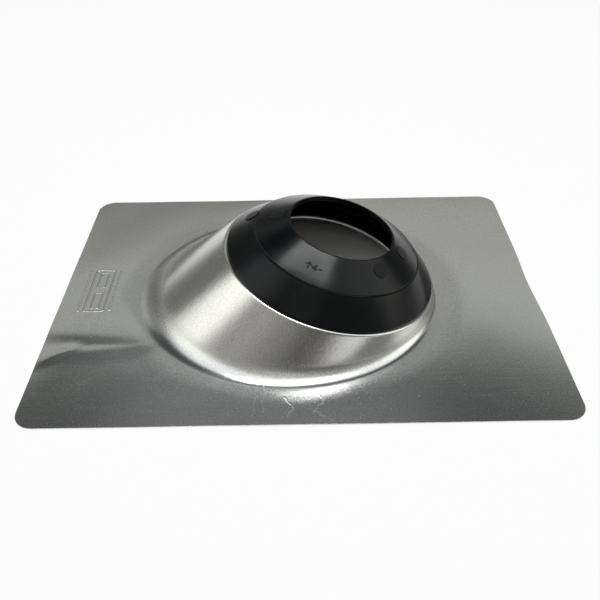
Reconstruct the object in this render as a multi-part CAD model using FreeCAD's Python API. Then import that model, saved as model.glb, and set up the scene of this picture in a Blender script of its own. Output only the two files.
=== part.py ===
import FreeCAD, Part
import os
from math import atan, atan2, cos, degrees, pi, tan

from FreeCAD import Placement, Rotation, Vector

# Pipe flashing boot for a vent pipe that comes up through a sloping roof.
#
# The boot is two pieces. The base is pressed from one aluminium sheet: a flat flange that goes under the
# shingles, a leaning cone drawn up out of it, a rounded shoulder, a dished seat and a hem round its mouth.
# The collar is one rubber moulding. It stands on the seat, grips the pipe with the lip at its top, and has a
# foot ring whose inner edge is caught in the hem. The two are assembled once, and nothing in them moves.
#
# Frame: millimetres, +Z up off the roof deck, +X up the slope, origin in the middle of the flange's underside.
# The collar's axis leans up the slope, so that it is upright on a roof of the design pitch.

# Roof
PITCH_RISE = 3.0  # design pitch, 3 in 12
PITCH_RUN = 12.0
LEAN = degrees(atan(PITCH_RISE / PITCH_RUN))  # from the flange's normal to the collar's axis

# Flange
SHEET = 0.8
FLANGE_LENGTH = 431.8  # along the slope, 17 in
FLANGE_WIDTH = 317.5  # across the slope, 12.5 in
CORNER_RADIUS = 16.0

# Cone: straight lines drawn from an ellipse on the flange to a leaning circle
FOOT_CENTRE_X = -6.0
FOOT_HALF_LENGTH = 128.6
FOOT_HALF_WIDTH = 113.0
FOOT_BEND_UPHILL = 5.0  # draw radius at the short, steep side
FOOT_BEND_DOWNHILL = 17.0  # and at the long, shallow side
SEAT_CENTRE_X = 29.0  # where the collar's axis crosses the seat
SEAT_CENTRE_Z = 34.0
SHOULDER_RADIUS = 95.6  # corner of cone and seat, before it is rounded
SHOULDER_BEND = 2.2

# Seat and hem, measured in the collar's own frame
SEAT_FLAT = 3.6  # from the shoulder's corner to where the seat starts to fall
SEAT_FALL = 5.0  # depth of the dish
SEAT_FALL_RUN = 7.5
SEAT_BEND = 2.0
MOUTH_RADIUS = 72.8  # clear opening inside the hem
HEM_BEND = SHEET  # outside radius: the sheet is folded tight round the foot ring
HEM_LEG = 6.2  # reach of the folded edge over the foot ring

# Collar
FIT_GAP = 0.05  # between rubber and sheet
COLLAR_INSET = 1.9  # of the collar's edge from the shoulder's corner
EDGE_HEIGHT = 2.6
RIDGE_RADIUS = 73.0  # where the steep lower band meets the flatter upper band
RIDGE_HEIGHT = 22.0
RIDGE_ROUND = 1.0
LIP_RADIUS = 45.6  # grips the pipe
LIP_HEIGHT = 37.1
LIP_WALL = 1.5
LIP_LENGTH = 4.0
RUBBER = 2.4
EDGE_ROUND = 0.5
FOOT_RING = 1.5  # thickness of the ring that lies on the seat
ROOT_FLAT = 2.5  # sides of the flat inside, where the wall turns into the foot ring

AXIS = Vector(0, 0, 1)
LEANING = Placement(Vector(SEAT_CENTRE_X, 0, SEAT_CENTRE_Z), Rotation(Vector(0, 1, 0), LEAN))
ROOM = 50.0  # how far the trimming tools reach past what they cut
TALL = SEAT_CENTRE_Z + SHOULDER_RADIUS + 2 * ROOM


def at(radius, height):
    """Point of a section, in the half plane that holds the collar's axis."""
    return Vector(radius, 0, height)


def left_of(heading):
    """Unit vector to the left of a heading in the section plane."""
    return Vector(-heading.z, 0, heading.x)


def turn_between(before, after):
    """Signed turn from one heading to the next, positive to the left."""
    return atan2(before.x * after.z - before.z * after.x, before.dot(after))


def beside(corners, shift):
    """Corners of the path that runs beside the given one, shifted to its left."""
    headings = [(b - a).normalize() for a, b in zip(corners, corners[1:])]
    befores = headings[:1] + headings
    afters = headings + headings[-1:]
    moved = []
    for corner, before, after in zip(corners, befores, afters):
        normals = left_of(before) + left_of(after)
        moved.append(corner + normals * (shift / (1 + before.dot(after))))
    return moved


def meeting(start_a, end_a, start_b, end_b):
    """Point where two straight runs of a section cross, once both are carried on."""
    along_a = end_a - start_a
    along_b = end_b - start_b
    across = left_of(along_b)
    return start_a + along_a * ((start_b - start_a).dot(across) / along_a.dot(across))


def rounded(corners, bends, closed=False):
    """Edges of a path whose corners are rounded to the given radii; an open path's ends stay sharp."""
    count = len(corners)
    starts = []
    ends = []
    middles = []
    for i, (corner, bend) in enumerate(zip(corners, bends)):
        at_end = not closed and i in (0, count - 1)
        before = Vector(0, 0, 0) if at_end else (corner - corners[i - 1]).normalize()
        after = Vector(0, 0, 0) if at_end else (corners[(i + 1) % count] - corner).normalize()
        turn = 0.0 if at_end else turn_between(before, after)
        setback = bend * tan(abs(turn) / 2)
        starts.append(corner - before * setback)
        ends.append(corner + after * setback)
        inward = (after - before).normalize() if setback else Vector(0, 0, 0)
        middles.append(corner + inward * (bend / cos(turn / 2) - bend))
    edges = []
    for i in range(count):
        if (ends[i] - starts[i]).Length > 0:
            edges.append(Part.Arc(starts[i], middles[i], ends[i]).toShape())
        if closed or i < count - 1:
            edges.append(Part.LineSegment(ends[i], starts[(i + 1) % count]).toShape())
    return edges


def ribbon(corners, bends, thickness):
    """Section of a bent sheet: bends are the radii on the given side, thickness goes to its left."""
    headings = [(b - a).normalize() for a, b in zip(corners, corners[1:])]
    turns = [0.0] + [turn_between(a, b) for a, b in zip(headings, headings[1:])] + [0.0]
    far_corners = beside(corners, thickness)
    far_bends = [bend - thickness * (1 if turn > 0 else -1) if bend else 0.0 for bend, turn in zip(bends, turns)]
    near = rounded(corners, bends)
    far = rounded(far_corners, far_bends)
    caps = [
        Part.LineSegment(corners[0], far_corners[0]).toShape(),
        Part.LineSegment(corners[-1], far_corners[-1]).toShape(),
    ]
    return Part.Face(Part.Wire(Part.__sortEdges__(near + far + caps)))


def spun(section):
    """Section turned all the way round, then leaned over onto the collar's axis."""
    ring = section.revolve(Vector(0, 0, 0), AXIS, 360)
    ring.Placement = LEANING
    return ring


def rim_point(side):
    """Corner of cone and seat in the plane of symmetry: side is 1 uphill, -1 downhill."""
    return LEANING.multVec(Vector(side * SHOULDER_RADIUS, 0, 0))


def wall_slope(side):
    """Angle of the cone's wall from the flange, uphill (1), downhill (-1) or across the slope (0)."""
    if side == 0:
        return atan2(SEAT_CENTRE_Z - SHEET, FOOT_HALF_WIDTH - SHOULDER_RADIUS)
    rim = rim_point(side)
    foot_x = FOOT_CENTRE_X + side * FOOT_HALF_LENGTH
    return atan2(rim.z - SHEET, side * (foot_x - rim.x))


def ring(curve, placement):
    """Closed curve as two halves that meet in the plane of symmetry."""
    halves = [Part.Arc(curve, start, start + pi).toShape() for start in (0, pi)]
    outline = Part.Wire(halves)
    outline.Placement = placement
    return outline


def curved_edges_on(shape, placement):
    """Curved edges that lie in the XY plane of a placement."""
    away = placement.inverse()
    found = []
    for edge in shape.Edges:
        ends_and_middle = [edge.valueAt(edge.FirstParameter), edge.CenterOfMass]
        flat = all(abs(away.multVec(point).z) < SHEET / 100 for point in ends_and_middle)
        if flat and not isinstance(edge.Curve, Part.Line):
            found.append(edge)
    return found


def hat(depth):
    """Half of the solid under one skin of the pressing: depth 0 is the upper skin, SHEET the lower one.

    Where the sheet turns by an angle, its lower skin's corner lies inward by depth times the tangent of half
    that angle, which keeps the wall's thickness.
    """
    level = Placement(Vector(0, 0, SHEET - depth), Rotation())
    uphill = depth * tan(wall_slope(1) / 2)
    downhill = depth * tan(wall_slope(-1) / 2)
    across = depth * tan(wall_slope(0) / 2)
    foot_centre = Vector(FOOT_CENTRE_X + (downhill - uphill) / 2, 0, 0)
    foot_half_length = FOOT_HALF_LENGTH - (downhill + uphill) / 2
    foot = ring(Part.Ellipse(foot_centre, foot_half_length, FOOT_HALF_WIDTH - across), level)
    rim_plane = LEANING.multiply(Placement(Vector(0, 0, -depth), Rotation()))
    rim = ring(Part.Circle(Vector(0, 0, 0), AXIS, SHOULDER_RADIUS - across), rim_plane)
    cone = Part.makeLoft([foot, rim], True, True)
    length = FLANGE_LENGTH + 2 * ROOM
    width = FLANGE_WIDTH + 2 * ROOM
    slab = Part.makeBox(length, width, ROOM, Vector(-length / 2, -width / 2, SHEET - depth - ROOM))
    near_side = Part.makeBox(length, width / 2, TALL, Vector(-length / 2, 0, -ROOM))
    body = slab.fuse(cone).common(near_side).removeSplitter()
    foot_edges = curved_edges_on(body, level)
    body = body.makeFillet(FOOT_BEND_UPHILL + depth, FOOT_BEND_DOWNHILL + depth, foot_edges)
    return body.makeFillet(SHOULDER_BEND - depth, curved_edges_on(body, rim_plane))


def flange_outline():
    """Upright block with rounded corners that trims the sheet to its outline."""
    corner = Vector(-FLANGE_LENGTH / 2, -FLANGE_WIDTH / 2, 0)
    block = Part.makeBox(FLANGE_LENGTH, FLANGE_WIDTH, TALL, corner)
    upright = [edge for edge in block.Edges if edge.tangentAt(edge.FirstParameter).cross(AXIS).Length < 1e-6]
    return block.makeFillet(CORNER_RADIUS, upright)


def seat_corners():
    """Underside of the seat and outside of the hem, from the shoulder in to the mouth and back."""
    outer = SHOULDER_RADIUS - SHOULDER_BEND * tan(wall_slope(0) / 2) - SHEET / 2
    fall = SHOULDER_RADIUS - SEAT_FLAT
    bottom = -SEAT_FALL - SHEET
    top = -SEAT_FALL + FOOT_RING + 2 * FIT_GAP + SHEET
    return [
        at(outer, -SHEET),
        at(fall, -SHEET),
        at(fall - SEAT_FALL_RUN, bottom),
        at(MOUTH_RADIUS, bottom),
        at(MOUTH_RADIUS, top),
        at(MOUTH_RADIUS + HEM_LEG, top),
    ]


def flashing_base():
    """Flange, cone, shoulder, seat and hem: one pressed sheet."""
    half = hat(0).cut(hat(SHEET))
    shell = half.fuse(half.mirror(Vector(0, 0, 0), Vector(0, 1, 0))).removeSplitter()
    shell = shell.common(flange_outline())
    corners = seat_corners()
    plug = Part.makeCylinder(corners[0].x, 2 * ROOM, Vector(0, 0, -ROOM), AXIS)
    plug.Placement = LEANING.multiply(plug.Placement)
    bends = [0.0, SEAT_BEND, SEAT_BEND + SHEET, HEM_BEND, HEM_BEND, 0.0]
    seat = spun(ribbon(corners, bends, -SHEET))
    return Part.Solid(shell.cut(plug).fuse(seat).removeSplitter().Shells[0])


def collar():
    """Moulded collar: foot ring, upright edge, lower band, ridge, upper band and sealing lip."""
    seat = beside(seat_corners()[:4], -SHEET - FIT_GAP)
    edge_radius = SHOULDER_RADIUS - COLLAR_INSET
    tip_radius = MOUTH_RADIUS + SHEET + FIT_GAP
    under = [at(edge_radius, seat[0].z), seat[1], seat[2], at(tip_radius, seat[2].z)]
    ring_top = beside(under, -FOOT_RING)
    outside = [at(edge_radius, EDGE_HEIGHT), at(RIDGE_RADIUS, RIDGE_HEIGHT), at(LIP_RADIUS + LIP_WALL, LIP_HEIGHT)]
    inside = beside(outside, RUBBER)
    root = meeting(inside[0], inside[1], ring_top[1], ring_top[2])
    root_on_wall = root + (inside[1] - root).normalize() * ROOT_FLAT
    root_on_ring = root + (ring_top[2] - root).normalize() * ROOT_FLAT
    lip_outer = LIP_RADIUS + LIP_WALL
    lip_bottom = LIP_HEIGHT - LIP_LENGTH
    lip_root = meeting(inside[1], inside[2], at(lip_outer, 0), at(lip_outer, 1))
    section = [
        (under[0], 0.0),
        (outside[0], EDGE_ROUND),
        (outside[1], RIDGE_ROUND),
        (outside[2], EDGE_ROUND),
        (at(LIP_RADIUS, LIP_HEIGHT), 0.0),
        (at(LIP_RADIUS, lip_bottom), 0.0),
        (at(lip_outer, lip_bottom), 0.0),
        (lip_root, 0.0),
        (inside[1], 0.0),
        (root_on_wall, 0.0),
        (root_on_ring, 0.0),
        (ring_top[2], 0.0),
        (ring_top[3], 0.0),
        (under[3], 0.0),
        (under[2], SEAT_BEND - FIT_GAP),
        (under[1], SEAT_BEND + SHEET + FIT_GAP),
    ]
    edges = rounded([corner for corner, bend in section], [bend for corner, bend in section], closed=True)
    return spun(Part.Face(Part.Wire(Part.__sortEdges__(edges))))


def main():
    """Write one STEP file for each piece."""
    os.makedirs("parts", exist_ok=True)
    for name, build in (("flashing_base", flashing_base), ("collar", collar)):
        solid = build()
        box = solid.BoundBox
        print(name, solid.ShapeType, len(solid.Solids), solid.isValid(), "volume", round(solid.Volume, 1))
        print("  box", [round(v, 2) for v in (box.XMin, box.YMin, box.ZMin, box.XMax, box.YMax, box.ZMax)])
        solid.exportStep("parts/" + name + ".step")


main()
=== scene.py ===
"""Pipe flashing boot: an aluminium sheet base with a leaning cone, and a black rubber collar on its mouth.

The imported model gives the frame. The pressed base is made again as one fine skin with the marks of handling, and
the collar as one moulding with its mould marks. Lengths are millimetres, which MM turns into metres.
"""

import logging
from collections.abc import Callable, Sequence
from dataclasses import dataclass
from enum import Enum
from math import atan, cos, radians, sin

import bpy
import numpy as np
from mathutils import Euler, Matrix, Vector
from numpy.typing import NDArray


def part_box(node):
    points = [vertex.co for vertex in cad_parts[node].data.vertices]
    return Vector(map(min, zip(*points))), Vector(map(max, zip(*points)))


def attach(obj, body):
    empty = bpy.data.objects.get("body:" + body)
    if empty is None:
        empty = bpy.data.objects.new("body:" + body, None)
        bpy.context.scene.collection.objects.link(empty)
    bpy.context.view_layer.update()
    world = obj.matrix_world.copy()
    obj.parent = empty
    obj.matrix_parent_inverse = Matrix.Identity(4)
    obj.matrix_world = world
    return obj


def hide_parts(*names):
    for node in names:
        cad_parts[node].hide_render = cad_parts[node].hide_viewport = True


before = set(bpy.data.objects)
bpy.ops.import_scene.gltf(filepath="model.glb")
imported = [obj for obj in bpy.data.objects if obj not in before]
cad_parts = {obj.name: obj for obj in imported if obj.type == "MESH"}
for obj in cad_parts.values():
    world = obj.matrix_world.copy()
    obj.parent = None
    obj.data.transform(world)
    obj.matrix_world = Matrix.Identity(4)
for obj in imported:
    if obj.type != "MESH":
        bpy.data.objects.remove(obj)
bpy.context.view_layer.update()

Array = NDArray[np.float64]
Pair = tuple[float, float]
Triple = tuple[float, float, float]
Colour = tuple[float, float, float, float]
Ease = tuple[float, float, float, float]
Shares = tuple[tuple[str, float], ...]
Piece = bpy.types.Object
LOG = logging.getLogger("flashing_boot")
MM = 0.001
RUN_STEPS = 4
SHARP_STEPS = 2


# Shapes as arrays


def unit(vectors: Array) -> Array:
    """Vectors divided by their own length."""
    return vectors / np.linalg.norm(vectors, axis=-1, keepdims=True)


def smooth(start: float, end: float, value: Array) -> Array:
    """Ease from 0 at start to 1 at end: 3f² − 2f³ of the clamped fraction f between them."""
    fraction = np.clip((value - start) / (end - start), 0.0, 1.0)
    return fraction * fraction * (3.0 - 2.0 * fraction)


def bell(distance: Array, spread: float) -> Array:
    """Bell curve of a distance: e to the minus (distance / spread)²."""
    return np.exp(-((distance / spread) ** 2))


def beside(corners: Array, shift: float) -> Array:
    """Corners, as radius and height, of the path that runs beside another, shifted to its left.

    Each corner moves by the sum of its two runs' left normals × shift / (1 + cosine of the turn).

    Args:
        corners: (corner, 2) radius and height of each corner.
        shift: distance to the left of travel.

    Returns:
        (corner, 2) shifted corners.
    """
    headings = unit(np.diff(corners, axis=0))
    before = np.concatenate([headings[:1], headings])
    after = np.concatenate([headings, headings[-1:]])
    cosine = (before * after).sum(-1, keepdims=True)
    normals = np.stack([-(before + after)[:, 1], (before + after)[:, 0]], axis=-1)
    return corners + normals * shift / (1.0 + cosine)


def meeting(first: Array, second: Array) -> Array:
    """Point where two straight runs of the plane cross, once both are carried on.

    Args:
        first: (2, 2) both ends of one run.
        second: (2, 2) both ends of the other.

    Returns:
        (2,) radius and height of the point.
    """
    along, (x, y) = first[1] - first[0], second[1] - second[0]
    across = np.array([-y, x])
    return first[0] + along * ((second[0] - first[0]) @ across) / (along @ across)


def rounded_path(corners: Array, bends: Array, run_steps: Sequence[int], arc_steps: Sequence[int]) -> Array:
    """Points along straight runs joined by arcs, for every section at once.

    At each inner corner the path turns by an angle. The arc starts a setback of bend × tan(angle / 2) before the
    corner. A fraction f of the way round it, the point is the start plus the heading × bend × sin(f × angle) plus
    the inward unit vector × bend × (1 − cos(f × angle)).

    Args:
        corners: (corner, section, 3) points of the sharp path.
        bends: (corner, section) radius at each corner; the two end values are not used.
        run_steps: steps along each straight run.
        arc_steps: steps round each inner corner.

    Returns:
        (point, section, 3) points of the rounded path.
    """
    headings = unit(np.diff(corners, axis=0))
    before, after = headings[:-1], headings[1:]
    cosine = np.clip((before * after).sum(-1, keepdims=True), -1.0, 1.0)
    turn = np.arccos(cosine)
    inward = unit(after - before * cosine)
    bend = bends[1:-1, :, None]
    setback = bend * np.tan(turn / 2.0)
    arc_starts = corners[1:-1] - before * setback
    arc_ends = corners[1:-1] + after * setback
    run_starts = [corners[0], *arc_ends]
    run_ends = [*arc_starts, corners[-1]]
    rows = []
    for run, steps in enumerate(run_steps):
        share = np.linspace(0.0, 1.0, steps + 1)[:, None, None]
        rows.append(run_starts[run] * (1.0 - share) + run_ends[run] * share)
        if run < len(arc_steps):
            angle = np.linspace(0.0, 1.0, arc_steps[run] + 1)[1:-1, None, None] * turn[run]
            aside = inward[run] * bend[run] * (1.0 - np.cos(angle))
            rows.append(arc_starts[run] + before[run] * bend[run] * np.sin(angle) + aside)
    return np.concatenate(rows)


@dataclass(frozen=True)
class Lean:
    """The collar's own frame: it stands on the seat at (seat_x, 0, seat_z), and its axis leans by rise / run."""

    seat_x: float = 29.0
    seat_z: float = 34.0
    rise: float = 3.0
    run: float = 12.0

    def angle(self) -> float:
        """Angle from the flange's normal to the axis."""
        return atan(self.rise / self.run)

    def place(self, radius: Array, height: Array, turn: Array) -> Array:
        """Points of the boot's frame from a radius, a height along the axis and an angle round it.

        The point in the collar's frame is (radius × cos turn, radius × sin turn, height); turning it about Y by
        the lean and adding the seat's centre puts it into the boot's frame.

        Args:
            radius: distance from the axis.
            height: distance along the axis from the seat.
            turn: angle round the axis, from up the slope.

        Returns:
            (..., 3) points.
        """
        radius, height, turn = np.broadcast_arrays(radius, height, turn)
        across = radius * np.cos(turn)
        lean = self.angle()
        x = self.seat_x + across * cos(lean) + height * sin(lean)
        z = self.seat_z - across * sin(lean) + height * cos(lean)
        return np.stack([x, radius * np.sin(turn), z], axis=-1)


def flat_section(corners: list[Triple], steps: int) -> Array:
    """Radius and height of points once round a closed section, from the middle of its last run.

    Each corner is a radius, a height and a bend, and a bend takes the given number of steps.

    Args:
        corners: radius, height and bend of each corner, in order round the section.
        steps: steps round each corner that has a bend.

    Returns:
        (point, 2) radius and height, once round to just before the start.
    """
    table = np.array(corners)
    start = (table[0, :2] + table[-1, :2]) / 2.0
    path = np.concatenate([[start], table[:, :2], [start]])
    bends = np.concatenate([[0.0], table[:, 2], [0.0]])
    arc_steps = [steps if bend > 0.0 else SHARP_STEPS for bend in table[:, 2]]
    run_steps = [RUN_STEPS] * (len(table) + 1)
    return rounded_path(path[:, None, :], bends[:, None], run_steps, arc_steps)[:-1, 0, :]


def ring_faces(rows: int, sections: int, closed: bool) -> Array:
    """Quads of a grid that closes round every row, and from its last row to its first if it is closed.

    Each goes to the next section, to the next row, and back, so it faces along (round the row) × (row to row).

    Args:
        rows: number of rows.
        sections: number of points in a row.
        closed: whether the last row is joined to the first.

    Returns:
        (face, 4) numbers of the corners.
    """
    here = np.arange(rows * sections).reshape(rows, sections)
    after = np.roll(here, -1, axis=1)
    cells = np.stack([here, after, np.roll(after, -1, axis=0), np.roll(here, -1, axis=0)], axis=-1)
    return (cells if closed else cells[:-1]).reshape(-1, 4)


def new_object(name: str, data: bpy.types.ID) -> Piece:
    """Object with the given data, in the scene.

    Args:
        name: name of the object.
        data: its mesh, lamp or camera.

    Returns:
        The object.
    """
    made = bpy.data.objects.new(name, data)
    bpy.context.scene.collection.objects.link(made)
    return made


def mesh_piece(name: str, points: Array, faces: list[Sequence[int]]) -> Piece:
    """Smooth mesh of points in millimetres and their faces, riding on the root body.

    Args:
        name: name of the piece.
        points: (..., 3) points.
        faces: numbers of the corners of each face.

    Returns:
        The piece.
    """
    mesh = bpy.data.meshes.new(name)
    mesh.from_pydata((points.reshape(-1, 3) * MM).tolist(), [], faces)
    mesh.polygons.foreach_set("use_smooth", np.ones(len(mesh.polygons), dtype=bool))
    mesh.update()
    piece = new_object(name, mesh)
    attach(piece, "root")
    return piece


def closed_piece(name: str, grid: Array) -> Piece:
    """Piece from a (row, section, 3) grid that closes on itself both ways."""
    return mesh_piece(name, grid, ring_faces(grid.shape[0], grid.shape[1], closed=True).tolist())


def capped_piece(name: str, grid: Array, start: Array, end: Array) -> Piece:
    """Piece from (row, section, 3) rings, closed by a fan to a pole at each end.

    Args:
        name: name of the piece.
        grid: (row, section, 3) rings.
        start: pole before the first ring.
        end: pole after the last ring.

    Returns:
        The piece.
    """
    rows, sections = grid.shape[:2]
    points = np.concatenate([grid.reshape(-1, 3), start[None], end[None]])
    pole, last = rows * sections, (rows - 1) * sections
    fans = [(pole, (at + 1) % sections, at) for at in range(sections)]
    fans += [(pole + 1, last + at, last + (at + 1) % sections) for at in range(sections)]
    return mesh_piece(name, points, ring_faces(rows, sections, closed=False).tolist() + fans)


# Shader maths


def maths_method(operation: str, swapped: bool = False) -> Callable[["Link", "Link | float"], "Link"]:
    """Method of a link that joins it and another value in a Math node, with the other value first if swapped.

    Args:
        operation: what the node does.
        swapped: whether the other value goes first.

    Returns:
        The method.
    """

    def method(self: "Link", other: "Link | float") -> "Link":
        """Math node of the two values."""
        return self.maths(operation, *((other, self) if swapped else (self, other)))

    return method


@dataclass(frozen=True)
class Link:
    """Output of a shader node, which sums and products turn into Math nodes."""

    graph: "Graph"
    output: bpy.types.NodeSocket

    def maths(self, operation: str, *values: "Link | float") -> "Link":
        """Math node on the given values, in order."""
        return self.graph.node("ShaderNodeMath", {"operation": operation}, dict(enumerate(values)))

    __add__ = maths_method("ADD")
    __radd__ = maths_method("ADD", swapped=True)
    __sub__ = maths_method("SUBTRACT")
    __rsub__ = maths_method("SUBTRACT", swapped=True)
    __mul__ = maths_method("MULTIPLY")
    __truediv__ = maths_method("DIVIDE")
    most = maths_method("MAXIMUM")

    def size(self) -> "Link":
        """Value without its sign."""
        return self.maths("ABSOLUTE", self)

    def eased(self, start: float, end: float, low: float = 0.0, high: float = 1.0) -> "Link":
        """Ease from low at start to high at end."""
        inputs = {"Value": self, "From Min": start, "From Max": end, "To Min": low, "To Max": high}
        return self.graph.node("ShaderNodeMapRange", {"interpolation_type": "SMOOTHSTEP"}, inputs)

    def vector(self, operation: str, *others: "Link | Triple") -> "Link":
        """Vector Math node on it and the others, whose output is a number where the operation gives one.

        Args:
            operation: what the node does.
            others: its other vectors, in order.

        Returns:
            The vector, or the number, that comes of it.
        """
        output = "Value" if operation in ("LENGTH", "DISTANCE", "DOT_PRODUCT") else "Vector"
        inputs = dict(enumerate((self, *others)))
        return self.graph.node("ShaderNodeVectorMath", {"operation": operation}, inputs, output)

    def scaled(self, factor: float) -> "Link":
        """Vector times a number."""
        return self.graph.node("ShaderNodeVectorMath", {"operation": "SCALE"}, {0: self, "Scale": factor})

    def along(self, vector: Triple) -> "Link":
        """Number times a fixed vector."""
        return self.graph.node("ShaderNodeVectorMath", {"operation": "SCALE"}, {0: vector, "Scale": self})

    def in_plan(self, x: float, y: float) -> "Link":
        """Vector in plan from a point to the place."""
        return self.vector("MULTIPLY", (1.0, 1.0, 0.0)).vector("SUBTRACT", (x, y, 0.0))

    def part(self, axis: str) -> "Link":
        """One component of a vector."""
        return self.graph.node("ShaderNodeSeparateXYZ", {}, {0: self}, axis)

    def noise(self, scale: float, detail: float, roughness: float) -> "Link":
        """Cloudy pattern between 0 and 1 on a vector."""
        inputs = {"Vector": self, "Scale": scale, "Detail": detail, "Roughness": roughness}
        return self.graph.node("ShaderNodeTexNoise", {}, inputs, "Fac")

    def mixed(self, first: "Colour | Link", second: "Colour | Link") -> "Link":
        """Colour that goes from the first to the second with it."""
        return self.graph.node("ShaderNodeMix", {"data_type": "RGBA"}, {0: self, 6: first, 7: second}, 2)

    def bump(self, distance: float) -> "Link":
        """Normal from a height of 0 to 1 over a distance in millimetres."""
        inputs = {"Height": self, "Distance": distance * MM, "Strength": 1.0}
        return self.graph.node("ShaderNodeBump", {}, inputs)


@dataclass
class Graph:
    """Node tree of a material or of the world, emptied first."""

    tree: bpy.types.NodeTree

    def __post_init__(self) -> None:
        """Start from an empty tree."""
        self.tree.nodes.clear()

    def node(self, kind: str, settings: dict[str, object], inputs: dict[object, object], output: object = 0) -> Link:
        """New node with its settings, whose sockets take links or values, as one of its outputs.

        Args:
            kind: Blender's name for the type of node.
            settings: its settings, by name.
            inputs: link or value of each socket, by name or number.
            output: name or number of the output.

        Returns:
            The output.
        """
        made = self.tree.nodes.new(kind)
        for key, value in settings.items():
            setattr(made, key, value)
        for key, value in inputs.items():
            if isinstance(value, Link):
                self.tree.links.new(value.output, made.inputs[key])
            else:
                made.inputs[key].default_value = value
        return Link(self, made.outputs[output])

    def place(self) -> Link:
        """Object coordinates in millimetres."""
        return self.node("ShaderNodeTexCoord", {}, {}, "Object").scaled(1.0 / MM)

    def surface(self, inputs: dict[object, object]) -> None:
        """Principled shader with the given sockets, as the material's surface."""
        shader = self.node("ShaderNodeBsdfPrincipled", {}, inputs)
        self.node_out("ShaderNodeOutputMaterial", shader)

    def node_out(self, kind: str, shader: Link) -> None:
        """Join a shader to the tree's output."""
        self.tree.links.new(shader.output, self.tree.nodes.new(kind).inputs["Surface"])


def weighed(patterns: dict[str, Link], shares: Shares, start: float = 0.0) -> Link:
    """Sum that starts from a number and adds each named pattern × its share.

    Args:
        patterns: patterns by name.
        shares: names and shares.
        start: the number.

    Returns:
        The sum.
    """
    total = start
    for name, share in shares:
        total = total + patterns[name] * share
    return total


def new_material(name: str) -> tuple[bpy.types.Material, Graph]:
    """Empty material and its graph.

    Args:
        name: name of the material.

    Returns:
        The material and its graph.
    """
    material = bpy.data.materials.new(name)
    material.use_nodes = True
    return material, Graph(material.node_tree)


@dataclass(frozen=True)
class Scratch:
    """Straight mark on the flange, from one point to another, in millimetres."""

    start: Pair
    end: Pair
    width: float

    def mask(self, place: Link) -> Link:
        """1 on the mark's line, 0 past its width.

        The share along the line is (point − start) · (end − start) / length², clamped to 0 … 1, and the distance is
        from the point to start + (end − start) × share.

        Args:
            place: place in millimetres.

        Returns:
            The mask.
        """
        run = (self.end[0] - self.start[0], self.end[1] - self.start[1], 0.0)
        length_squared = run[0] ** 2 + run[1] ** 2
        away = place.in_plan(*self.start)
        along = away.vector("DOT_PRODUCT", run) / length_squared
        share = place.graph.node("ShaderNodeClamp", {}, {"Value": along})
        return away.vector("DISTANCE", share.along(run)).eased(0.0, self.width, 1.0, 0.0)


@dataclass(frozen=True)
class PlainStamp:
    """Plain pressed panel on the downhill end: a rounded frame, two bars in it, and a broken line on each side.

    Half and bar are half sizes, side is how far the broken lines are from the middle, dash is one dash and its
    gap, and a fade gives the distances from the middle of a line between which it dies away.
    """

    middle: Pair = (-184.0, 3.0)
    half: Pair = (9.0, 30.0)
    corner: float = 3.0
    bar: Pair = (3.6, 11.0)
    bar_corner: float = 1.5
    side: float = 14.0
    dash: float = 3.4
    dash_levels: Pair = (-0.2, 0.3)
    frame_fade: Pair = (0.3, 1.0)
    bar_fade: Pair = (0.2, 0.8)
    side_fade: Pair = (0.4, 1.1)
    end_fade: float = 1.0

    def box(self, away: Link, half: Pair, corner: float) -> Link:
        """Signed distance from a rounded rectangle: length of the part of |point| beyond it, less the corner.

        Args:
            away: vector from the rectangle's middle.
            half: its half sizes.
            corner: radius of its corners.

        Returns:
            The distance, less than 0 inside.
        """
        inner = (half[0] - corner, half[1] - corner, 0.0)
        beyond = away.vector("ABSOLUTE").vector("SUBTRACT", inner).vector("MAXIMUM", (0.0, 0.0, 0.0))
        return beyond.vector("LENGTH") - corner

    def mask(self, place: Link) -> Link:
        """1 on the pressed lines and 0 beside them.

        Args:
            place: place in millimetres.

        Returns:
            The mask.
        """
        away = place.in_plan(*self.middle)
        frame_line = self.box(away, self.half, self.corner).size().eased(*self.frame_fade, 1.0, 0.0)
        folded = away.vector("ABSOLUTE").vector("SUBTRACT", (0.0, self.half[1] / 2.0, 0.0))
        bars = self.box(folded, self.bar, self.bar_corner).size().eased(*self.bar_fade, 1.0, 0.0)
        across = away.part("X").size()
        along = away.part("Y")
        phase = along * (2.0 * np.pi / self.dash)
        broken = phase.maths("SINE", phase).eased(*self.dash_levels)
        side_line = (across - self.side).size().eased(*self.side_fade, 1.0, 0.0)
        side_line = side_line * along.size().eased(self.half[1], self.half[1] - self.end_fade)
        return frame_line.most(bars).most(side_line * broken)


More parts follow.
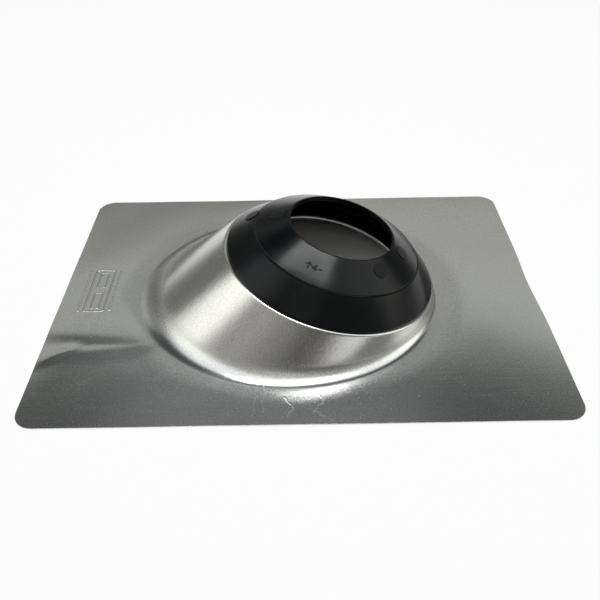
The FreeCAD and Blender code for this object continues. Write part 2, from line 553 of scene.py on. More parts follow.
@dataclass(frozen=True)
class MillAluminium:
    """Mill finish aluminium: rolled streaks on the flange, drawn streaks on the cone, smudges, specks and marks.

    The foot is a band of coarser grain at the bottom of the cone, and the skirt a rougher one on the flange round it.
    Fields that end in noise are scale, detail and roughness of a pattern, and pairs are values between which
    something is eased. Shade, rough and deep are the patterns' shares in the colour, the roughness and the height.
    """

    foot_centre_x: float
    foot_scale: Triple
    wall_heights: Pair = (2.0, 9.0)
    foot_rise: Pair = (1.5, 3.5)
    foot_fall: Pair = (7.0, 15.0)
    skirt_reach: Pair = (1.28, 1.12)
    skirt_heights: Pair = (1.15, 0.90)
    rolled_squeeze: Triple = (0.022, 0.9, 0.9)
    rolled_noise: Triple = (1.0, 4.0, 0.65)
    drawn_turn: float = 110.0
    drawn_squeeze: Triple = (0.0, 0.0, 0.06)
    drawn_noise: Triple = (0.55, 5.0, 0.62)
    grain_noise: Triple = (0.75, 3.0, 0.75)
    smudge_noise: Triple = (0.012, 3.0, 0.5)
    handled_noise: Triple = (0.05, 4.0, 0.6)
    handled_levels: Pair = (0.55, 0.80)
    speck_noise: Triple = (0.75, 1.0, 0.5)
    speck_levels: Pair = (0.76, 0.80)
    worn_noise: Triple = (0.35, 2.0, 0.5)
    worn_levels: Pair = (0.30, 0.42)
    stray: float = 7.0
    stray_scale: float = 0.12
    shade: Shares = (("streak", 0.6), ("grain", 3.0), ("smudge", 0.5))
    shade_levels: Pair = (0.15, 0.85)
    speck_share: float = 0.45
    mark_share: float = 0.35
    rough: Shares = (
        *(("smudge", 0.05), ("streak", 0.06), ("grain", 0.08), ("handled", 0.03)),
        *(("speck", 0.2), ("wall", 0.08), ("foot", 0.10), ("skirt", 0.15)),
    )
    deep: Shares = (
        *(("rolled", 0.18), ("drawn", 0.45), ("grain", 0.4), ("wall_grain", 0.4)),
        *(("foot_grain", 1.2), ("mark", -1.5), ("stamp", 14.0)),
    )
    bump: float = 0.030
    bright: Colour = (0.66, 0.66, 0.645, 1.0)
    dull: Colour = (0.55, 0.555, 0.55, 1.0)
    speck_colour: Colour = (0.30, 0.30, 0.29, 1.0)
    mark_colour: Colour = (0.92, 0.92, 0.90, 1.0)
    roughness: float = 0.14
    stamp: PlainStamp = PlainStamp()
    scratches: tuple[Scratch, ...] = (
        Scratch((-34.0, -120.0), (-36.0, -148.0), 0.9),
        Scratch((-28.0, -121.0), (-29.0, -146.0), 0.8),
        Scratch((-13.0, -132.0), (-5.0, -142.0), 1.1),
        Scratch((-5.0, -142.0), (-11.0, -152.0), 1.0),
        Scratch((8.0, -124.0), (18.0, -134.0), 1.0),
        Scratch((18.0, -134.0), (11.0, -146.0), 1.1),
        Scratch((11.0, -146.0), (26.0, -156.0), 0.9),
        Scratch((-120.0, 86.0), (-84.0, 104.0), 0.4),
        Scratch((150.0, 72.0), (171.0, 120.0), 0.4),
    )

    def rolled(self, place: Link) -> Link:
        """Streaks along the slope: noise on a place that is squeezed to a fortieth along X."""
        return place.vector("MULTIPLY", self.rolled_squeeze).noise(*self.rolled_noise)

    def drawn(self, place: Link) -> Link:
        """Streaks up the wall: noise on the direction from the foot's centre, nearly the same at every height.

        Args:
            place: place in millimetres.

        Returns:
            The pattern, between 0 and 1.
        """
        outward = place.in_plan(self.foot_centre_x, 0.0).vector("NORMALIZE").scaled(self.drawn_turn)
        squeezed = place.vector("MULTIPLY", self.drawn_squeeze)
        return outward.vector("ADD", squeezed).noise(*self.drawn_noise)

    def skirt(self, place: Link) -> Link:
        """1 on the flange close round the foot: eased over the length of (place − foot's centre) / half axes."""
        out = place.in_plan(self.foot_centre_x, 0.0).vector("MULTIPLY", self.foot_scale)
        return out.vector("LENGTH").eased(*self.skirt_reach) * place.part("Z").eased(*self.skirt_heights)

    def marks(self, place: Link) -> Link:
        """1 on the scratches, which stray from their lines by a noise, and are worn away here and there.

        Args:
            place: place in millimetres.

        Returns:
            The mask.
        """
        cloud = place.graph.node("ShaderNodeTexNoise", {}, {"Vector": place, "Scale": self.stray_scale}, "Color")
        drift = cloud.scaled(self.stray).vector("SUBTRACT", (self.stray / 2.0,) * 3)
        strayed = place.vector("ADD", drift)
        mark = self.scratches[0].mask(strayed)
        for scratch in self.scratches[1:]:
            mark = mark.most(scratch.mask(strayed))
        return mark * place.noise(*self.worn_noise).eased(*self.worn_levels)

    def material(self) -> bpy.types.Material:
        """Build the finish: each of shade, roughness and height is a sum of patterns × shares.

        Returns:
            The material.
        """
        material, graph = new_material("mill_aluminium")
        place = graph.place()
        up = place.part("Z")
        wall = up.eased(*self.wall_heights)
        flat = 1.0 - wall
        foot = up.eased(*self.foot_rise) * (1.0 - up.eased(*self.foot_fall))
        rolled = self.rolled(place)
        drawn = self.drawn(place)
        grain = place.noise(*self.grain_noise)
        speck = place.noise(*self.speck_noise).eased(*self.speck_levels)
        mark = self.marks(place) * flat
        spread = {
            "streak": rolled + (drawn - rolled) * wall - 0.5,
            "grain": grain - 0.5,
            "smudge": place.noise(*self.smudge_noise) - 0.5,
            "handled": place.noise(*self.handled_noise).eased(*self.handled_levels),
            "speck": speck,
            "wall": wall,
            "foot": foot,
            "skirt": self.skirt(place),
        }
        raised = {
            "rolled": rolled * flat,
            "drawn": drawn * wall,
            "grain": grain,
            "wall_grain": grain * wall,
            "foot_grain": grain * foot,
            "mark": mark,
            "stamp": self.stamp.mask(place),
        }
        shade = weighed(spread, self.shade, 0.5).eased(*self.shade_levels)
        colour = shade.mixed(self.dull, self.bright)
        colour = (speck * self.speck_share).mixed(colour, self.speck_colour)
        colour = (mark * self.mark_share).mixed(colour, self.mark_colour)
        roughness = weighed(spread, self.rough, self.roughness)
        normal = weighed(raised, self.deep).bump(self.bump)
        graph.surface({"Base Color": colour, "Metallic": 1.0, "Roughness": roughness, "Normal": normal})
        return material


@dataclass(frozen=True)
class CollarRubber:
    """Moulded black rubber: fine texture, faint flow lines from the mouth, and a little dust.

    The fields are named as those of the aluminium are.
    """

    lean: Lean
    name: str = "collar_rubber"
    flow_turn: float = 62.0
    flow_squeeze: float = 0.05
    flow_noise: Triple = (0.55, 3.0, 0.5)
    texture_noise: Triple = (2.6, 3.0, 0.65)
    cloud_noise: Triple = (0.05, 3.0, 0.6)
    cloud_levels: Pair = (0.35, 0.75)
    dust_noise: Triple = (1.1, 2.0, 0.6)
    dust_levels: Pair = (0.70, 0.78)
    shade: Shares = (("worn", 0.8), ("flow", 0.5))
    dust_share: float = 0.20
    rough: Shares = (("cloud", 0.12), ("flow", 0.10), ("dust", 0.2))
    deep: Shares = (("texture", 0.16), ("flow", 0.08))
    bump: float = 0.03
    dust_colour: Colour = (0.12, 0.12, 0.12, 1.0)
    black: Colour = (0.0006, 0.0020, 0.0026, 1.0)
    worn: Colour = (0.0022, 0.0038, 0.0045, 1.0)
    roughness: float = 0.20
    specular: float = 0.19

    def flow(self, place: Link) -> Link:
        """Lines that run down from the mouth: noise on the direction from the leaning axis.

        Args:
            place: place in millimetres.

        Returns:
            The pattern, between 0 and 1.
        """
        away = place.vector("SUBTRACT", (self.lean.seat_x, 0.0, self.lean.seat_z))
        axis = (sin(self.lean.angle()), 0.0, cos(self.lean.angle()))
        height = away.vector("DOT_PRODUCT", axis)
        outward = away.vector("SUBTRACT", height.along(axis)).vector("NORMALIZE").scaled(self.flow_turn)
        upward = (height * self.flow_squeeze).along(axis)
        return outward.vector("ADD", upward).noise(*self.flow_noise)

    def material(self) -> bpy.types.Material:
        """Build the finish.

        Returns:
            The material.
        """
        material, graph = new_material(self.name)
        place = graph.place()
        flow = self.flow(place)
        cloud = place.noise(*self.cloud_noise)
        dust = place.noise(*self.dust_noise).eased(*self.dust_levels)
        worn = cloud.eased(*self.cloud_levels)
        spread = {"cloud": cloud - 0.5, "flow": flow - 0.5, "dust": dust, "worn": worn}
        raised = {"texture": place.noise(*self.texture_noise), "flow": flow}
        colour = weighed(spread, self.shade).mixed(self.black, self.worn)
        inputs = {
            "Base Color": (dust * self.dust_share).mixed(colour, self.dust_colour),
            "Roughness": weighed(spread, self.rough, self.roughness),
            "Specular IOR Level": self.specular,
            "Normal": weighed(raised, self.deep).bump(self.bump),
        }
        graph.surface(inputs)
        return material


# Base


@dataclass(frozen=True)
class Fold:
    """Soft fold that handling left in the flange: the sheet is lifted on both sides of a line in plan.

    Near and far are how far the crest's slope reaches on the right and on the left of the line, and fade is the
    share of the line over which each end dies away.
    """

    start: Pair
    end: Pair
    lift: float
    near: float
    far: float
    fade: float = 0.35

    def height(self, x: Array, y: Array) -> Array:
        """Lift over the plan: a bell across the line, with its own spread on each side, eased to 0 at the ends.

        Args:
            x: places up the slope.
            y: places across it.

        Returns:
            The lift at each place.
        """
        run = np.subtract(self.end, self.start)
        length = np.hypot(*run)
        along = ((x - self.start[0]) * run[0] + (y - self.start[1]) * run[1]) / length**2
        left = ((y - self.start[1]) * run[0] - (x - self.start[0]) * run[1]) / length
        across = np.where(left > 0.0, bell(left, self.far), bell(left, self.near))
        ends = smooth(-self.fade, self.fade, along) * smooth(1.0 + self.fade, 1.0 - self.fade, along)
        return self.lift * across * ends


@dataclass
class FlashingBase:
    """Flange, cone, shoulder, dished seat and hem, pressed from one aluminium sheet."""

    lean: Lean
    length: float
    width: float
    finish: bpy.types.Material
    sheet: float = 0.8
    corner_radius: float = 16.0
    foot_centre_x: float = -6.0
    foot_half_length: float = 128.6
    foot_half_width: float = 113.0
    foot_bend_uphill: float = 4.0
    foot_bend_downhill: float = 40.0
    foot_bend_ease: float = 1.3
    shoulder_radius: float = 95.6
    shoulder_bend: float = 2.2
    seat_flat: float = 3.6
    seat_fall: float = 5.0
    seat_fall_run: float = 7.5
    seat_bend: float = 2.0
    mouth_radius: float = 72.8
    hem_leg: float = 6.2
    hem_room: float = 1.6
    fold_round: float = 0.4
    cut_edge: float = 0.15
    cut_steps: int = 5
    side_dent: float = 1.9
    side_dent_at: float = 4.0
    side_dent_spread: float = 34.0
    far_sag: float = 0.9
    sag_from: Pair = (10.0, -70.0)
    edge_margin: float = 0.05
    flat_lift: float = 0.18
    rise: float = 0.30
    rise_reach: float = 70.0
    lift_reach: float = 50.0
    fold_reach: float = 24.0
    corner_rise: float = 0.9
    corner_from: Pair = (-30.0, 70.0)
    corner_to: Pair = (170.0, 158.0)
    wave: float = 0.12
    wave_spans: Triple = (31.0, 47.0, 38.0)
    wave_start: float = 0.6
    ripple: float = 0.05
    ripple_spans: Pair = (13.0, 19.0)
    side_steps: tuple[int, int] = (74, 106)
    corner_steps: int = 10
    run_steps: tuple[int, ...] = (34, 26, 4, 4, 7, 3, 4)
    arc_steps: tuple[int, ...] = (18, 7, 5, 5, 4, 4)
    folds: tuple[Fold, ...] = (
        Fold((-224.0, -50.0), (-120.0, -66.0), 0.65, 10.0, 34.0, 0.45),
        Fold((-222.0, -80.0), (-128.0, -74.0), 0.36, 10.0, 5.0, 0.45),
        Fold((-214.0, -92.0), (-186.0, -72.0), 0.35, 3.5, 6.0, 0.5),
        Fold((-226.0, 34.0), (-178.0, 20.0), 0.5, 20.0, 36.0, 0.5),
        Fold((232.0, 6.0), (190.0, -14.0), 0.25, 26.0, 44.0, 0.6),
        Fold((-10.0, 168.0), (-4.0, 122.0), 0.5, 60.0, 30.0, 0.5),
    )

    def outline(self) -> Array:
        """(section, 2) points once round the flange, anticlockwise from the uphill end of its near side.

        Each corner is an arc about its own centre, and each side is a straight run to the next arc's start.

        Returns:
            (section, 2) points.
        """
        half_length = self.length / 2.0 - self.cut_edge
        half_width = self.width / 2.0 - self.cut_edge
        inset = self.corner_radius - self.cut_edge
        signs = ((1, -1), (1, 1), (-1, 1), (-1, -1))
        centres = np.array([(sx * (half_length - inset), sy * (half_width - inset)) for sx, sy in signs])
        pieces = []
        for index in range(4):
            angles = (index - 1 + np.linspace(0.0, 1.0, self.corner_steps + 1)) * np.pi / 2.0
            arc = centres[index] + inset * np.stack([np.cos(angles), np.sin(angles)], axis=-1)
            share = np.linspace(0.0, 1.0, self.side_steps[index % 2] + 1)[1:-1, None]
            next_start = centres[(index + 1) % 4] + inset * np.array([np.cos(angles[-1]), np.sin(angles[-1])])
            pieces += [arc, arc[-1] * (1.0 - share) + next_start * share]
        edge = np.concatenate(pieces)
        uphill = smooth(0.0, half_length, edge[:, 0])
        far = smooth(0.0, half_width, edge[:, 1])
        edge[:, 0] -= self.side_dent * bell(edge[:, 1] - self.side_dent_at, self.side_dent_spread) * uphill
        edge[:, 1] -= self.far_sag * smooth(*self.sag_from, edge[:, 0]) * far
        return edge

    def outside_foot(self, x: Array, y: Array) -> Array:
        """Rough distance outside the foot's ellipse: (ellipse radius − 1) × mean half axis."""
        mean = (self.foot_half_length + self.foot_half_width) / 2.0
        return (np.hypot((x - self.foot_centre_x) / self.foot_half_length, y / self.foot_half_width) - 1.0) * mean

    def lift(self, x: Array, y: Array) -> Array:
        """How far the flange stands off the deck, which is 0 at the foot and never less.

        It is a slow rise away from the foot, a rise of the far uphill corner, waves about 200 mm long, ripples about
        100 mm long, and the folds.

        Args:
            x: places up the slope.
            y: places across it.

        Returns:
            The lift at each place.
        """
        out = self.outside_foot(x, y)
        rise = self.rise * smooth(0.0, self.rise_reach, out)
        corner = self.corner_rise * smooth(self.corner_from[0], self.corner_to[0], x)
        corner = corner * smooth(self.corner_from[1], self.corner_to[1], y)
        spans = self.wave_spans
        wave = self.wave * np.sin(x / spans[0] + y / spans[1]) * np.sin(y / spans[2] - self.wave_start)
        ripple = self.ripple * np.sin(x / self.ripple_spans[0] - y / self.ripple_spans[1])
        folds = sum(fold.height(x, y) for fold in self.folds)
        slow = rise + corner + self.flat_lift + (wave + ripple)
        return slow * smooth(0.0, self.lift_reach, out) + folds * smooth(0.0, self.fold_reach, out)

    def seat_corners(self) -> list[Pair]:
        """Radius and height of the corners under the sheet, from the shoulder over the dish to the mouth.

        Returns:
            Radius and height of each corner.
        """
        fall = self.shoulder_radius - self.seat_flat
        floor = -self.seat_fall - self.sheet
        rim = [(self.shoulder_radius, -self.sheet), (fall, -self.sheet)]
        return [*rim, (fall - self.seat_fall_run, floor), (self.mouth_radius, floor)]

    def upper_skin(self) -> Array:
        """(row, section, 3) points of the upper skin, from the flange's edge over the cone and into the hem.

        Every section is a path with rounded corners: edge of the flange, foot of the cone, shoulder, both bends of
        the dished seat, both bends of the hem, and the end of its leg. The foot is the point of the ellipse on the
        line from its centre to the edge, and the shoulder has the same angle on its own leaning circle.

        Returns:
            (row, section, 3) points.
        """
        edge = self.outline()
        turn = np.arctan2(edge[:, 1] / self.foot_half_width, (edge[:, 0] - self.foot_centre_x) / self.foot_half_length)
        level = np.full_like(turn, self.sheet)
        foot_x = self.foot_centre_x + self.foot_half_length * np.cos(turn)
        foot = np.stack([foot_x, self.foot_half_width * np.sin(turn), level], axis=-1)
        hem_top = -self.seat_fall + self.hem_room + self.sheet
        hem = [(self.mouth_radius, hem_top), (self.mouth_radius + self.hem_leg, hem_top)]
        seat = beside(np.array([*self.seat_corners(), *hem]), -self.sheet)
        rings = [self.lean.place(radius, height, turn) for radius, height in seat]
        corners = np.stack([np.column_stack([edge, level]), foot, *rings])
        share = (np.abs(turn) / np.pi) ** self.foot_bend_ease
        foot_bend = self.foot_bend_uphill + (self.foot_bend_downhill - self.foot_bend_uphill) * share
        flat_bends = [self.shoulder_bend, self.seat_bend + self.sheet, self.seat_bend]
        flat_bends += [self.fold_round, self.fold_round]
        bends = np.stack([level, foot_bend, *[np.full_like(turn, bend) for bend in flat_bends], level])
        skin = rounded_path(corners, bends, self.run_steps, self.arc_steps)
        skin[..., 2] += self.lift(skin[..., 0], skin[..., 1])
        margin = skin[0] + unit(skin[1] - skin[0]) * self.edge_margin
        return np.concatenate([skin[:1], margin[None], skin[1:]])

    def skin_normals(self, skin: Array) -> Array:
        """Upward unit normals: (round the row) × (from row to row), each the sum of the unit steps on both sides.

        Args:
            skin: (row, section, 3) points.

        Returns:
            (row, section, 3) normals.
        """
        steps = unit(np.diff(skin, axis=0))
        along = np.concatenate([steps[:1], steps]) + np.concatenate([steps, steps[-1:]])
        around = np.roll(skin, -1, axis=1) - np.roll(skin, 1, axis=1)
        return unit(np.cross(around, along))

    def cut(self, start: Array, end: Array, outward: Array) -> Array:
        """Rows round a cut edge: half an ellipse from one skin to the other that stands cut_edge proud.

        Args:
            start: (section, 3) last points of the skin before the cut.
            end: (section, 3) first points of the skin after it.
            outward: (section, 3) unit vectors out of the sheet.

        Returns:
            (row, section, 3) points between the skins.
        """
        angle = np.linspace(0.0, np.pi, self.cut_steps + 1)[1:-1, None, None]
        middle = (start + end) / 2.0
        return middle + (start - middle) * np.cos(angle) + outward * self.cut_edge * np.sin(angle)

    def build(self) -> Piece:
        """Make the closed sheet: upper skin, cut edge of the hem, lower skin, cut edge of the flange.

        Returns:
            The piece.
        """
        upper = self.upper_skin()
        lower = upper - self.sheet * self.skin_normals(upper)
        lower[0, :, :2] = upper[0, :, :2]
        lower[..., 2] = np.maximum(lower[..., 2], 0.0)
        lower = np.concatenate([lower[:-1:2], lower[-1:]])[::-1]
        leg_out = unit(upper[-1] - upper[-2])
        edge_out = unit((upper[0] - upper[1]) * np.array([1.0, 1.0, 0.0]))
        leg_cut = self.cut(upper[-1], lower[0], leg_out)
        edge_cut = self.cut(lower[-1], upper[0], edge_out)
        piece = closed_piece("flashing_base_skin", np.concatenate([upper, leg_cut, lower, edge_cut]))
        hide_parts("flashing_base")
        piece.data.materials.append(self.finish)
        return piece


# Collar


class Band(Enum):
    """Conical band of the collar that a moulded mark stands on."""

    LOWER = "lower"
    UPPER = "upper"


@dataclass(frozen=True)
class Disc:
    """Round witness mark that a mould insert leaves: which band, where round it and how far up it, and its radius."""

    band: Band
    turn: float
    up: float
    radius: float
    proud: float


@dataclass
class Collar:
    """Rubber collar that stands on the seat, grips the pipe and is caught in the hem."""

    lean: Lean
    finish: bpy.types.Material
    insert_finish: bpy.types.Material
    base: FlashingBase
    fit_gap: float = 0.05
    inset: float = 1.9
    edge_height: float = 2.6
    ridge_radius: float = 73.0
    ridge_height: float = 22.0
    ridge_round: float = 0.7
    groove_width: float = 1.9
    groove_depth: float = 0.75
    groove_floor_at: float = 0.6
    groove_rounds: Pair = (0.1, 0.15)
    inner_round: float = 1.0
    soft: float = 0.25
    lip_radius: float = 45.6
    lip_height: float = 37.1
    lip_wall: float = 1.5
    lip_length: float = 4.0
    rubber: float = 2.4
    edge_round: float = 0.5
    foot_ring: float = 1.5
    root_flat: float = 2.5
    turns: int = 420
    corner_steps: int = 6
    mark_turn: float = radians(-113.2)
    mark_up: float = 14.6
    stroke_width: float = 1.1
    stroke_height: float = 0.45
    stroke_steps: tuple[int, int] = (10, 12)
    disc_turns: int = 48
    strokes: tuple[tuple[Pair, Pair], ...] = (
        ((-5.4, -2.7), (-5.4, 2.6)),
        ((-7.7, 0.2), (-5.4, 2.7)),
        ((-3.1, 0.2), (-5.4, 2.7)),
        ((0.9, -2.8), (0.9, 2.7)),
        ((0.9, 2.7), (-2.0, -0.9)),
        ((-2.0, -0.9), (2.2, -0.9)),
        ((3.6, -0.2), (5.8, -0.2)),
    )
    discs: tuple[Disc, ...] = (
        Disc(Band.UPPER, radians(-56.0), 19.6, 6.8, 0.55),
        Disc(Band.UPPER, radians(-15.0), 19.6, 6.8, 0.55),
        Disc(Band.UPPER, radians(173.0), 19.6, 6.8, 0.40),
        Disc(Band.LOWER, radians(164.0), 21.0, 7.2, 0.80),
    )

    def outside(self) -> list[Pair]:
        """Corners of the outer skin: top of the upright edge, ridge and lip.

        Returns:
            Radius and height of each corner.
        """
        edge_radius = self.base.shoulder_radius - self.inset
        lip_outer = self.lip_radius + self.lip_wall
        ridge = (self.ridge_radius, self.ridge_height)
        return [(edge_radius, self.edge_height), ridge, (lip_outer, self.lip_height)]

    def section(self) -> list[Triple]:
        """Radius, height and bend of each corner of the section, from the upright edge up to the lip and back.

        Returns:
            Radius, height and bend of each corner.
        """
        base = self.base
        seat = beside(np.array(base.seat_corners()), -base.sheet - self.fit_gap)
        outside = np.array(self.outside())
        tip = base.mouth_radius + base.sheet + self.fit_gap
        under = np.array([(outside[0, 0], seat[0, 1]), seat[1], seat[2], (tip, seat[2, 1])])
        ring_top = beside(under, -self.foot_ring)
        inside = beside(outside, self.rubber)
        root = meeting(inside[:2], ring_top[1:3])
        on_wall = root + unit(inside[1] - root) * self.root_flat
        on_ring = root + unit(ring_top[2] - root) * self.root_flat
        lip_outer = self.lip_radius + self.lip_wall
        lip_bottom = self.lip_height - self.lip_length
        lip_line = np.array([(lip_outer, 0.0), (lip_outer, 1.0)])
        lip_root = meeting(inside[1:], lip_line)
        soft = self.soft
        heading = unit(outside[1] - outside[0])
        inward = np.array([-heading[1], heading[0]])
        groove_start = outside[1] - heading * self.groove_width
        groove_floor = outside[1] - heading * self.groove_width * self.groove_floor_at + inward * self.groove_depth
        return [
            (*under[0], soft),
            (*outside[0], self.edge_round),
            (*groove_start, self.groove_rounds[0]),
            (*groove_floor, self.groove_rounds[1]),
            (*outside[1], self.ridge_round),
            (*outside[2], self.edge_round),
            (self.lip_radius, self.lip_height, soft),
            (self.lip_radius, lip_bottom, soft),
            (lip_outer, lip_bottom, soft),
            (*lip_root, soft),
            (*inside[1], self.inner_round),
            (*on_wall, soft),
            (*on_ring, soft),
            (*ring_top[2], soft),
            (*ring_top[3], soft),
            (*under[3], soft),
            (*under[2], base.seat_bend - self.fit_gap),
            (*under[1], base.seat_bend + base.sheet + self.fit_gap),
        ]

    def on_band(self, band: Band, turn: float, round_it: Array, up: Array, proud: Array) -> Array:
        """Points on a band: round_it millimetres past a turn, up its slope from its lower edge, and proud of it.

        Radius and height are the lower edge + slope × up + outward normal × proud, and the angle is the turn plus
        round_it over the radius on the band's skin.

        Args:
            band: which band.
            turn: angle round the axis.
            round_it: millimetres round the band.
            up: millimetres up its slope.
            proud: height above it.

        Returns:
            (..., 3) points.
        """
        outside = np.array(self.outside())
        first = 0 if band is Band.LOWER else 1
        slope = unit(outside[first + 1] - outside[first])
        normal = np.array([slope[1], -slope[0]])
        skin_radius = outside[first, 0] + slope[0] * up
        radius = skin_radius + normal[0] * proud
        height = outside[first, 1] + slope[1] * up + normal[1] * proud
        return self.lean.place(radius, height, turn + round_it / skin_radius)

    def stroke(self, number: int, stroke: tuple[Pair, Pair]) -> Piece:
        """Raised stroke between two points, given round the band and up it.

        It is an elliptic bar along its line, half sunk, whose ends are rounded by √(1 − s⁶).

        Args:
            number: number in the name of the piece.
            stroke: both ends.

        Returns:
            The piece.
        """
        start, end = np.array(stroke)
        heading = unit(end - start)
        aside = np.array([-heading[1], heading[0]])
        share = np.sin(np.linspace(-0.5, 0.5, self.stroke_steps[0] + 1)[1:-1, None] * np.pi)
        swell = np.sqrt(1.0 - share**6)
        angle = np.linspace(0.0, 2.0 * np.pi, self.stroke_steps[1] + 1)[None, :-1]
        across = swell * np.cos(angle) * self.stroke_width / 2.0
        middle = (start + end) / 2.0
        reach = (end - start) / 2.0 + heading * self.stroke_width / 2.0
        flat = middle + share[..., None] * reach + across[..., None] * aside
        proud = swell * np.sin(angle) * self.stroke_height
        grid = self.on_band(Band.UPPER, self.mark_turn, flat[..., 0], self.mark_up + flat[..., 1], proud)
        tips = [middle - reach, middle + reach]
        ends = [self.on_band(Band.UPPER, self.mark_turn, *(tip + (0.0, self.mark_up)), 0.0) for tip in tips]
        return self.dress(capped_piece(f"collar_mark_{number}", grid[:, ::-1], ends[0], ends[1]), self.finish)

    def disc(self, number: int, disc: Disc) -> Piece:
        """Low round pad with a rounded step: its rings go down the step from a nearly flat top.

        Args:
            number: number in the name of the piece.
            disc: where it is, and its size.

        Returns:
            The piece.
        """
        step = np.array([(0.35, 1.0), (0.7, 1.0), (0.9, 1.0), (0.95, 0.97), (0.98, 0.85), (1.0, 0.6), (1.0, -0.6)])
        angle = np.linspace(0.0, 2.0 * np.pi, self.disc_turns + 1)[None, :-1]
        radius = step[:, :1] * disc.radius
        proud = np.broadcast_to(step[:, 1:] * disc.proud, (len(step), angle.size))
        across, up = radius * np.cos(angle), disc.up + radius * np.sin(angle)
        grid = self.on_band(disc.band, disc.turn, across, up, proud)
        poles = [self.on_band(disc.band, disc.turn, 0.0, disc.up, disc.proud * side) for side in (1.0, -0.6)]
        piece = capped_piece(f"collar_insert_{number}", grid[:, ::-1], poles[0], poles[1])
        return self.dress(piece, self.insert_finish)

    def dress(self, piece: Piece, finish: bpy.types.Material) -> Piece:
        """Give a piece one of the rubber finishes.

        Args:
            piece: the piece.
            finish: its material.

        Returns:
            The same piece.
        """
        piece.data.materials.append(finish)
        return piece

    def build(self) -> list[Piece]:
        """Make the moulding and its marks.

        Returns:
            The pieces.
        """
        section = flat_section(self.section(), self.corner_steps)
        turn = np.linspace(0.0, 2.0 * np.pi, self.turns + 1)[None, :-1]
        grid = self.lean.place(section[:, :1], section[:, 1:], turn)
        body = self.dress(closed_piece("collar_moulding", grid), self.finish)
        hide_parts("collar")
        marks = [self.stroke(number, stroke) for number, stroke in enumerate(self.strokes)]
        return [body, *marks, *[self.disc(number, disc) for number, disc in enumerate(self.discs)]]


# Studio


@dataclass(frozen=True)
class Softbox:
    """Rectangular lamp that faces straight down. Level is the brightness of its face, and turn its angle about Z."""

    name: str
    place: Triple
    size: Pair
    level: float
    turn: float

    def build(self) -> None:
        """Hang the lamp. Its power is level × π × area, so that its face is as bright as the level."""
        lamp = bpy.data.lights.new(self.name, "AREA")
        lamp.shape = "RECTANGLE"
        lamp.size, lamp.size_y = self.size
        lamp.energy = self.level * np.pi * self.size[0] * self.size[1]
        holder = new_object(self.name, lamp)
        holder.location = self.place
        holder.rotation_euler = (0.0, 0.0, self.turn)


@dataclass(frozen=True)
class Glow:
    """Soft bright patch of the surroundings.

    Its strength is eased in as the cosine of the angle from its middle goes from edge to full.
    """

    towards: Triple
    edge: float
    full: float
    strength: float

    def level_in(self, direction: Link) -> Link:
        """Level that it adds in a direction."""
        return direction.vector("DOT_PRODUCT", self.towards).eased(self.edge, self.full, 0.0, self.strength)


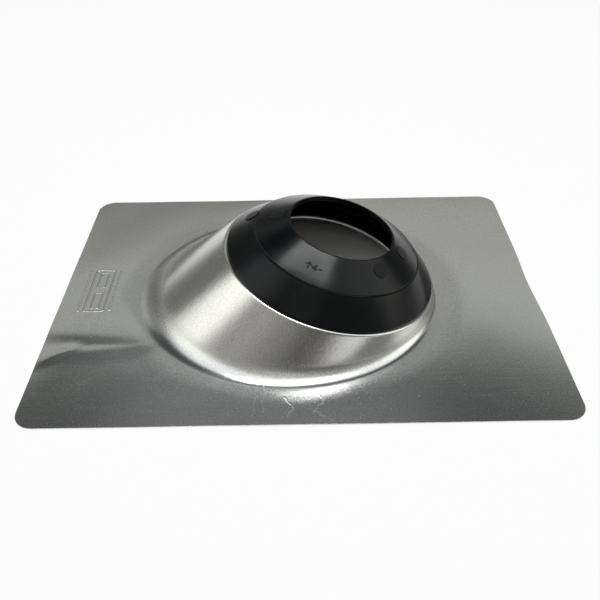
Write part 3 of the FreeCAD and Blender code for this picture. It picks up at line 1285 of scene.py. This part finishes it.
@dataclass
class Studio:
    """Pale floor, graded surroundings, a soft lamp and the camera.

    The surroundings are functions of a unit direction's three parts: side (X), depth (Y, away from the camera) and
    height (Z). A pair gives the two values between which something is eased in, and an Ease adds its two levels.
    """

    length: float
    floor_reach: float = 12.0
    floor_level: float = -0.0002
    floor_colour: Colour = (0.80, 0.80, 0.80, 1.0)
    floor_glow: float = 0.86
    glow_start: Pair = (125.0, 165.0)
    horizon: Ease = (-0.02, 0.10, 0.80, 0.30)
    wall_rise: Ease = (0.36, 0.62, 0.0, 0.25)
    wall_ends: Ease = (0.42, 0.60, 1.0, 0.66)
    wall_sides: Ease = (-0.50, 0.20, 0.95, 1.03)
    ceiling_heights: Pair = (0.648, 0.684)
    ceiling_level: float = 0.078
    front_depths: Pair = (0.1, -0.4)
    front_rise: Ease = (-1.0, -0.45, 0.12, 0.40)
    strip_rise: Ease = (0.10, 0.45, 0.0, 1.50)
    zenith_fall: Ease = (0.80, 0.97, 0.0, -0.45)
    strip_near: Pair = (-0.36, -0.10)
    strip_far: Pair = (0.38, 0.18)
    colour_heights: Pair = (0.5, 0.75)
    white: Colour = (1.0, 1.0, 1.0, 1.0)
    low_colour: Colour = (1.0, 1.0, 0.90, 1.0)
    high_colour: Colour = (0.95, 1.0, 1.0, 1.0)
    front_colour: Colour = (1.0, 0.98, 0.91, 1.0)
    tan_glow: Glow = Glow((0.24, -0.94, 0.24), 0.93, 0.99, 1.0)
    tan_colour: Colour = (1.0, 0.87, 0.66, 1.0)
    glows: tuple[Glow, ...] = (
        Glow((-0.05, 0.60, 0.80), 0.950, 0.995, 0.17),
        Glow((-0.20, 0.88, 0.42), 0.970, 0.986, -0.13),
        Glow((0.40, 0.62, 0.68), 0.965, 0.990, 0.03),
        Glow((-0.10, -0.53, 0.84), 0.955, 0.990, 0.30),
        Glow((-0.50, -0.77, 0.40), 0.900, 0.980, 0.12),
        Glow((0.98, 0.0, 0.15), 0.93, 0.99, 0.45),
    )
    lens: float = 39.2
    azimuth: float = radians(-0.357)
    elevation: float = radians(39.923)
    roll: float = radians(-0.627)
    distance: float = 1.4032
    aside: float = 0.00311
    above: float = -0.02045
    lamp: Softbox = Softbox("overhead", (0.015, 0.09, 1.50), (1.00, 0.30), 10.5, radians(-31.3))

    def floor(self) -> None:
        """Plain square floor just under the base, white to the camera and in mirrors, which keeps the shadow."""
        mesh = bpy.data.meshes.new("floor")
        reach, level = self.floor_reach, self.floor_level
        signs = ((-1.0, -1.0), (1.0, -1.0), (1.0, 1.0), (-1.0, 1.0))
        mesh.from_pydata([(x * reach, y * reach, level) for x, y in signs], [], [(0, 1, 2, 3)])
        material, graph = new_material("floor")
        paint = graph.node("ShaderNodeBsdfDiffuse", {}, {"Color": self.floor_colour})
        glow = graph.node("ShaderNodeEmission", {}, {"Color": self.white, "Strength": 1.0})
        seen = graph.node("ShaderNodeLightPath", {}, {}, "Is Camera Ray")
        for ray in ("Is Glossy Ray", "Is Transmission Ray"):
            seen = seen.most(graph.node("ShaderNodeLightPath", {}, {}, ray))
        away = graph.place().vector("LENGTH").eased(*self.glow_start)
        mix = graph.node("ShaderNodeMixShader", {}, {0: seen * away * self.floor_glow, 1: paint, 2: glow})
        graph.node_out("ShaderNodeOutputMaterial", mix)
        mesh.materials.append(material)
        new_object("floor", mesh)

    def surroundings(self) -> None:
        """World with a grey wall behind, a dark ceiling, a dim front and a bright strip from side to side overhead."""
        world = bpy.data.worlds.new("studio")
        world.use_nodes = True
        bpy.context.scene.world = world
        graph = Graph(world.node_tree)
        towards = graph.node("ShaderNodeTexCoord", {}, {}, "Generated")
        side, depth, height = (towards.part(axis) for axis in "XYZ")
        wall = height.eased(*self.horizon) + height.eased(*self.wall_rise)
        wall = wall * side.size().eased(*self.wall_ends) * side.eased(*self.wall_sides)
        ceiling = height.eased(*self.ceiling_heights)
        back = wall * (1.0 - ceiling) + ceiling * self.ceiling_level
        front = depth.eased(*self.front_depths)
        level = back * (1.0 - front) + depth.eased(*self.front_rise) * front
        strip = height.eased(*self.strip_rise) + height.eased(*self.zenith_fall)
        level = level + strip * depth.eased(*self.strip_near) * depth.eased(*self.strip_far)
        for glow in self.glows:
            level = level + glow.level_in(towards)
        colour = height.eased(*self.colour_heights).mixed(self.low_colour, self.high_colour)
        colour = front.mixed(colour, self.front_colour)
        colour = self.tan_glow.level_in(towards).mixed(colour, self.tan_colour)
        shader = graph.node("ShaderNodeBackground", {}, {"Color": colour, "Strength": level})
        graph.node_out("ShaderNodeOutputWorld", shader)

    def camera(self) -> None:
        """Camera on the sight line given by azimuth, elevation and roll, moved aside and up in its own frame."""
        tilted = Euler((np.pi / 2.0 - self.elevation, 0.0, self.azimuth)).to_matrix()
        axes = tilted @ Matrix.Rotation(self.roll, 3, "Z")
        place = axes @ Vector((self.aside, self.above, self.distance)) * self.length * MM
        data = bpy.data.cameras.new("camera")
        data.lens = self.lens
        data.sensor_width = 36.0
        data.clip_start = 0.01
        camera = new_object("camera", data)
        camera.matrix_world = Matrix.Translation(place) @ axes.to_4x4()
        bpy.context.scene.camera = camera

    def build(self) -> None:
        """Set the stage."""
        self.floor()
        self.surroundings()
        self.camera()
        self.lamp.build()
        bpy.context.scene.view_settings.view_transform = "Standard"


def main() -> None:
    """Build the boot and its stage, and report each piece."""
    logging.basicConfig(level=logging.INFO, format="%(name)s: %(message)s")
    low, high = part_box("flashing_base")
    length, width = (high[0] - low[0]) / MM, (high[1] - low[1]) / MM
    lean = Lean()
    foot_scale = (1.0 / FlashingBase.foot_half_length, 1.0 / FlashingBase.foot_half_width, 0.0)
    aluminium = MillAluminium(FlashingBase.foot_centre_x, foot_scale).material()
    base = FlashingBase(lean, length, width, aluminium)
    rubber = CollarRubber(lean).material()
    matt = CollarRubber(lean, name="insert_rubber", roughness=0.42).material()
    collar = Collar(lean, rubber, matt, base)
    for piece in [base.build(), *collar.build()]:
        LOG.info("%s has %d faces", piece.name, len(piece.data.polygons))
    Studio(length).build()


if __name__ == "__main__":
    main()
